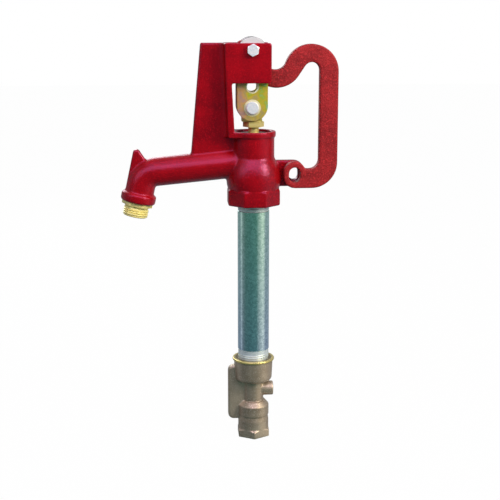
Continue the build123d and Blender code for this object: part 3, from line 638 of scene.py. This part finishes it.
# %% Bright zinc
bright_zinc, tree, shader, where = finish("bright_zinc", 0.28, metallic=0.35)
crystals = place_group(tree, spangle, where, Crystals=700.0)
plating = mixed(tree, crystals.outputs["Shade"], (0.76, 0.87, 0.92), white)
feed(tree, shader.inputs["Base Color"], plating)
print(bright_zinc.name)

# %% [markdown]
# ### Yellow zinc
# The links are plated in the yellow kind, which shifts from pink through gold to green like oil
# on water. A thin-film shader could work that out, but it changes with every light. A colour ramp
# over clouds gives the same patches at will, and a slope across the link puts the pink on its
# left and the green on its right.

# %% Yellow zinc
zinc_yellow, tree, shader, where = finish("zinc_yellow", 0.34, metallic=0.45)
across, _, height = split(tree, where)
clouds = noise(tree, where, scale=95.0, detail=2.5, roughness=0.6).outputs["Fac"]
slope = spread(tree, across, -0.015, 0.015, to_low=-0.16, to_high=0.16)
plating_stops = [
    (0.26, (0.56, 0.34, 0.26)),
    (0.38, (0.70, 0.40, 0.13)),
    (0.47, (0.52, 0.42, 0.14)),
    (0.56, (0.70, 0.52, 0.05)),
    (0.66, (0.50, 0.56, 0.04)),
    (0.76, (0.30, 0.58, 0.28)),
]
plating = colour_ramp(tree, calculate(tree, "ADD", slope, clouds), plating_stops)
scuffs = noise(tree, where, scale=900.0, detail=2.0)
bumped(tree, shader, scuffs.outputs["Fac"], strength=0.12, distance=0.0002)
print(zinc_yellow.name, "stops", len(plating_stops))

# %% [markdown]
# ### Worn rings and painted light on the links
# The round top of each link is painted silver-white, a painted highlight for the white that it
# reflects, and pin and eye sit in pale rings where the plating is rubbed. A mask by height alone
# would end in a ruled line, so the clouds are added to the height first and the edge of the
# highlight wanders. The round bands lie round the pin and the eye, and a dark one round the top
# of the link is painted shade, for the shaded edge of the rear link seen past the front one.

# %% Painted highlight on the top of the links
wander = 0.010
crown_low, crown_high = 0.4165, 0.4225
highlight_edge_height = calculate(tree, "MULTIPLY_ADD", clouds, wander, height)
crown_highlight = spread(tree, highlight_edge_height, crown_low, crown_high)
# The silver-white on the round top of the link is a painted highlight.
plating = mixed(tree, crown_highlight, plating, (0.88, 0.92, 0.90))
print("crown from", crown_low, "to", crown_high)

# %% Pale rings and painted shade
link_x = -0.002
pin_z, eye_z, crown_z = 0.3572, 0.3787, 0.4126
for centre_z, inner, outer, colour in (
    (pin_z, 0.0064, 0.0086, (0.95, 0.88, 0.55)),
    (eye_z, 0.0056, 0.0068, (0.90, 0.84, 0.52)),
):
    centre = (link_x, 0.0, centre_z)
    band = place_group(tree, round_band, where, Centre=centre, Inner=inner, Outer=outer)
    plating = mixed(tree, band.outputs["Mask"], plating, colour)
# The dark band round the top of the link is painted shade, for the shaded edge of the rear link.
centre = (link_x, 0.0, crown_z)
band = place_group(tree, round_band, where, Centre=centre, Inner=0.0156, Outer=0.0170)
shaded_outline = calculate(tree, "MULTIPLY", band.outputs["Mask"], crown_highlight)
plating = mixed(tree, shaded_outline, plating, (0.09, 0.10, 0.09))
feed(tree, shader.inputs["Base Color"], plating)
print("rings at", pin_z, eye_z, crown_z)

# %% [markdown]
# ### Packing and rubber
# The stem is sealed by rings of greased graphite cord, and the plunger by rubber. Both are hidden
# and show only when the model is opened, so they stay simple: a slanted wave stands for the
# plaiting of the cord, and a faint noise for the grey bloom on old rubber.

# %% Packing
graphite, tree, shader, where = finish("graphite_packing", 0.7)
weave = tree.nodes.new("ShaderNodeTexWave")
weave.bands_direction = "DIAGONAL"
weave.inputs["Scale"].default_value = 320.0
feed(tree, weave.inputs["Vector"], where)
plaited = mixed(tree, weave.outputs["Fac"], (0.02, 0.02, 0.02), (0.09, 0.09, 0.09))
feed(tree, shader.inputs["Base Color"], plaited)
bumped(tree, shader, weave.outputs["Fac"], strength=0.4, distance=0.0003)
print(graphite.name)

# %% Rubber
rubber, tree, shader, where = finish("black_rubber", 0.62)
bloom = noise(tree, where, scale=240.0, detail=3.0)
faded = mixed(tree, bloom.outputs["Fac"], (0.018, 0.018, 0.02), (0.05, 0.05, 0.052))
feed(tree, shader.inputs["Base Color"], faded)
print(rubber.name)

# %% [markdown]
# ## Dress the solids
# The record says which material slot each solid has. Each slot has its finish, so the solids are
# dressed in one loop, and a new solid in the model would be dressed with them. Two small pieces
# that lie in shade, the packing nut deep in its recess and the set screw in its hole, get a dark
# brass afterwards, as painted shade.

# %% Dress
finishes = {
    "red_enamel": red_enamel,
    "handle_enamel": handle_enamel,
    "galvanised_pipe": galvanised,
    "bronze_casting": bronze,
    "machined_brass": brass,
    "zinc_yellow": zinc_yellow,
    "bright_zinc": bright_zinc,
    "rod_steel": rod_steel,
    "graphite_packing": graphite,
    "black_rubber": rubber,
}
for entry in frame["record"]["subparts"]:
    mesh = nodes[entry["node"]].data
    mesh.materials.clear()
    mesh.materials.append(finishes[entry["material_slot"]])
for name in ("packing_nut", "nozzle_set_screw"):
    nodes[name].data.materials[0] = shade_brass

# %% [markdown]
# ## Soft castings
# Iron and bronze leave a sand mould with rounded corners and soft hollows, where a solid model
# has sharp ones. A bevel rounds clean edges but fails where many curved walls meet. So a copy of
# each casting is wrapped in an even skin of small squares, and the skin is relaxed. That rounds
# the corners and fills the joints as molten metal does.


# %% Modelling helpers
def select_only(piece):
    """Deselect everything, then select one object and make it active."""
    bpy.ops.object.select_all(action="DESELECT")
    piece.select_set(True)
    bpy.context.view_layer.objects.active = piece


def apply_modifier(piece, kind, **settings):
    """Add a modifier with its settings and apply it at once."""
    select_only(piece)
    modifier = piece.modifiers.new(kind.lower(), kind)
    for label, value in settings.items():
        setattr(modifier, label, value)
    bpy.ops.object.modifier_apply(modifier=modifier.name)


# %% Cast copy
merge_distance = 1e-6


def cast_copy(node, body, square, passes):
    """Replace a casting's solid by a copy with rounded edges."""
    select_only(nodes[node])
    bpy.ops.object.duplicate()
    copy = bpy.context.object
    copy.name = node + "_skin"
    copy.parent = None
    # The copy is a piece of the scene, so it drops the marks of a CAD node.
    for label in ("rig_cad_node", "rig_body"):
        if label in copy:
            del copy[label]
    bpy.ops.object.mode_set(mode="EDIT")
    bpy.ops.mesh.select_all(action="SELECT")
    bpy.ops.mesh.remove_doubles(threshold=merge_distance)
    bpy.ops.object.mode_set(mode="OBJECT")
    apply_modifier(copy, "REMESH", mode="VOXEL", voxel_size=square, use_smooth_shade=True)
    apply_modifier(copy, "SMOOTH", factor=0.5, iterations=passes)
    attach(copy, body)
    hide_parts(node)
    print(copy.name, "triangles", 2 * len(copy.data.polygons))


# %% [markdown]
# ### Head, handle and valve
# These three are the castings. They could share one size of square, but the smaller the squares,
# the sharper the form and the heavier the mesh. The valve has the finest details, so it gets the
# smallest squares and is relaxed the least, and the big head gets the largest.

# %% Head, handle and valve
cast_copy("head_casting", "standpipe", square=0.00102, passes=3)
cast_copy("handle", "lever", square=0.0009, passes=3)
cast_copy("valve_body", "standpipe", square=0.0006, passes=2)

# %% [markdown]
# ## Screw threads
# A thread is a small wedge carried round a cylinder while it climbs. It could be a stack of rings,
# but rings don't climb, and that shows where a thread ends. A triangle is added as a three-sided
# circle, its corners are put beside the axis, and the Screw modifier sweeps it. The ends of the
# ridge are open then, so they are filled.


# %% Thread maker
def face_outwards(piece):
    """Turn every face of a closed piece outwards."""
    select_only(piece)
    bpy.ops.object.mode_set(mode="EDIT")
    bpy.ops.mesh.select_all(action="SELECT")
    bpy.ops.mesh.normals_make_consistent(inside=False)
    bpy.ops.object.mode_set(mode="OBJECT")


def thread(name, root, depth, pitch, turns, low, inward=False):
    """Make a helical ridge on a cylinder, starting at a height on its axis."""
    bpy.ops.object.select_all(action="DESELECT")
    bpy.ops.mesh.primitive_circle_add(vertices=3, radius=0.5 * pitch)
    ridge = bpy.context.object
    ridge.name = name
    way = -1.0 if inward else 1.0
    # The foot of the wedge is sunk a little into the cylinder, so that no gap shows.
    sunk, half_width = -0.15 * depth, 0.46 * pitch
    corners = ((sunk, -half_width), (depth, 0.0), (sunk, half_width))
    for vertex, (out, up) in zip(ridge.data.vertices, corners):
        vertex.co = (root + way * out, 0.0, up)
    apply_modifier(
        ridge, "SCREW", axis="Z", angle=math.tau, screw_offset=pitch, iterations=turns,
        steps=48, render_steps=48, use_merge_vertices=True, merge_threshold=merge_distance,
    )
    bpy.ops.object.mode_set(mode="EDIT")
    bpy.ops.mesh.select_all(action="SELECT")
    bpy.ops.mesh.fill_holes(sides=4)
    bpy.ops.object.mode_set(mode="OBJECT")
    face_outwards(ridge)
    ridge.location = (0.0, 0.0, low)
    bpy.ops.object.transform_apply(location=True, rotation=True, scale=True)
    print(name, "faces", len(ridge.data.polygons))
    return ridge


# %% [markdown]
# ## Turned pieces
# Nozzle and pipe are round, so they are made as a lathe makes them: half of the outline is drawn
# and turned about the axis. Cylinders joined by booleans could do it too, but each step and
# chamfer would be one more of them. The outline is a closed one, so the piece has its bore and
# its wall at once.


# %% Lathe
smooth_below = math.radians(35)


def turned(name, profile):
    """Turn a closed profile of (radius, height) pairs round the Z axis."""
    bpy.ops.object.select_all(action="DESELECT")
    bpy.ops.mesh.primitive_circle_add(vertices=len(profile), radius=0.01)
    piece = bpy.context.object
    piece.name = name
    for vertex, (out, up) in zip(piece.data.vertices, profile):
        vertex.co = (out, 0.0, up)
    apply_modifier(
        piece, "SCREW", axis="Z", angle=math.tau, steps=96, render_steps=96,
        use_merge_vertices=True, merge_threshold=merge_distance,
    )
    face_outwards(piece)
    bpy.ops.object.shade_smooth_by_angle(angle=smooth_below)
    print(name, "faces", len(piece.data.polygons))
    return piece


# %% [markdown]
# ### Hose nozzle
# The nozzle screws into the slanted outlet, has a hexagon for the spanner, a neck, and the hose
# thread with its mouth. It could be built in its slant, but it is easier to model upright, mouth
# down at zero, where every edge is level, and to tip it into its place last. The outline is
# written as distances past the spout's corner, which is how they were read off the photograph.
# The hexagon is turned so that its corners point left and right, as they do there.

# %% Nozzle body
outlet_way = Vector((-math.sin(outlet_tilt), 0.0, -math.cos(outlet_tilt)))
spout_corner = Vector((-0.1142, 0.0, 0.290005))
nozzle_bore, nozzle_seat, nozzle_mouth = 0.0092, 0.0199, 0.0459
# Radius, and distance past the corner: body, neck, root of the thread, chamfered mouth.
nozzle_profile = [
    (nozzle_bore, nozzle_seat), (0.0130, nozzle_seat), (0.0130, 0.0347), (0.0122, 0.0350),
    (0.0122, 0.0366), (0.0125, 0.0371), (0.0125, 0.0452), (0.0118, nozzle_mouth),
    (nozzle_bore, nozzle_mouth),
]
nozzle = turned("nozzle_threaded", [(out, nozzle_mouth - past) for out, past in nozzle_profile])

# %% Nozzle hexagon and thread
hexagon_flat, hexagon_height, hexagon_middle = 0.0140, 0.0038, 0.0131
bpy.ops.object.select_all(action="DESELECT")
bpy.ops.mesh.primitive_cylinder_add(
    vertices=6, radius=hexagon_flat / math.cos(math.pi / 6), depth=hexagon_height,
    location=(0.0, 0.0, hexagon_middle), rotation=(0.0, 0.0, math.pi / 6),
)
hexagon = bpy.context.object
bpy.ops.object.transform_apply(location=True, rotation=True, scale=True)
apply_modifier(hexagon, "BEVEL", width=0.0005, segments=3)
hose_ridge = thread("hose_thread", root=0.0125, depth=0.0009, pitch=0.0022, turns=3, low=0.0012)
for part in (hexagon, hose_ridge):
    part.select_set(True)
nozzle.select_set(True)
bpy.context.view_layer.objects.active = nozzle
bpy.ops.object.join()
print("nozzle faces", len(nozzle.data.polygons))

# %% Nozzle in place
mouth = spout_corner + outlet_way * nozzle_mouth
nozzle.matrix_world = Matrix.Translation(mouth) @ Matrix.Rotation(outlet_tilt, 4, "Y")
bpy.ops.object.transform_apply(location=True, rotation=True, scale=True)
face_outwards(nozzle)
bpy.ops.object.shade_smooth_by_angle(angle=smooth_below)
nozzle.data.materials.clear()
nozzle.data.materials.append(nozzle_brass)
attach(nozzle, "standpipe")
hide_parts("hose_nozzle")
print("nozzle box", [tuple(round(c, 4) for c in corner) for corner in nozzle.bound_box][::6])

# %% [markdown]
# ### Casing pipe
# Each end of the real pipe steps down where its thread is cut. The solid has these steps too, but
# a few millimetres off from the photograph. Its mesh could be edited there, but turning a new
# outline is shorter, and the steps then fall exactly where the finish changes from plating to
# bare metal.

# %% Turned pipe
pipe_bore, pipe_root, pipe_skin = 0.0133, 0.0162, 0.0167
pipe_low, pipe_high = 0.0734, 0.2710
pipe_step = 0.0005
pipe = turned("pipe_turned", [
    (pipe_bore, pipe_low), (pipe_root, pipe_low),
    (pipe_root, pipe_foot_cut), (pipe_skin, pipe_foot_cut + pipe_step),
    (pipe_skin, pipe_top_cut), (pipe_root, pipe_top_cut + pipe_step),
    (pipe_root, pipe_high), (pipe_bore, pipe_high),
])
pipe.data.materials.clear()
pipe.data.materials.append(galvanised)
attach(pipe, "standpipe")
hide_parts("casing_pipe")
print("pipe from", pipe_low, "to", pipe_high)

# %% [markdown]
# ### Threads on the pipe and in the inlet
# Two turns of thread stay in view at each end of the pipe, between the casting and the plating.
# A bump in the finish could fake them, but the pipe's outline would stay straight, so they are
# real ridges. The turns inside the castings aren't made. The valve's inlet, which is screwed on
# a supply pipe, has its thread in the bore, so its wedge points inward.

# %% Pipe threads
for name, low in (("pipe_thread_top", 0.2510), ("pipe_thread_foot", 0.0894)):
    ridge = thread(name, root=pipe_root, depth=0.0003, pitch=0.0022, turns=2, low=low)
    ridge.data.materials.append(galvanised)
    bpy.ops.object.shade_smooth_by_angle(angle=smooth_below)
    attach(ridge, "standpipe")

# %% Inlet thread
ridge = thread(
    "inlet_thread", root=0.0122, depth=0.0008, pitch=0.0018, turns=6, low=0.0012, inward=True
)
ridge.data.materials.append(bronze)
bpy.ops.object.shade_smooth_by_angle(angle=smooth_below)
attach(ridge, "standpipe")
